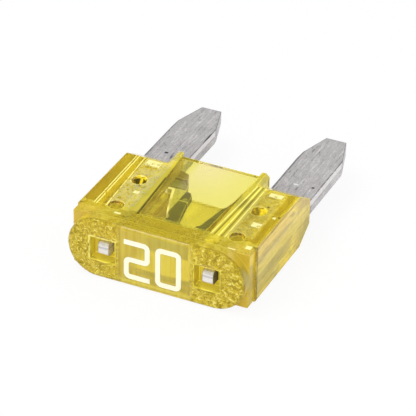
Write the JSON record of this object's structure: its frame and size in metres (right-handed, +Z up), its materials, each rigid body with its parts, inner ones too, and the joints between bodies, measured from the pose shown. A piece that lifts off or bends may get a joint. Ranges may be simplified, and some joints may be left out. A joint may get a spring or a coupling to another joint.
{
  "type": "blade fuse",
  "caption": "Small flat plug-in fuse: see-through yellow housing with a round-ended head, white rating digits and two parallel metal blades.",
  "frame": {"origin": "centre of the outline seen from above, at the lowest face, the fuse lying on one flat side", "axes": "+Y from the head to the blade tips, +X across the two blades, +Z up through the thickness"},
  "size_m": [0.011, 0.0162, 0.0037],
  "materials": {
    "housing": "clear tinted, gloss",
    "metal": "dull tinned zinc",
    "print": "matt print"
  },
  "bodies": {
    "root": {"housing": "housing", "fuse_element": "metal", "rating_digits": "print"}
  },
  "joints": []
}
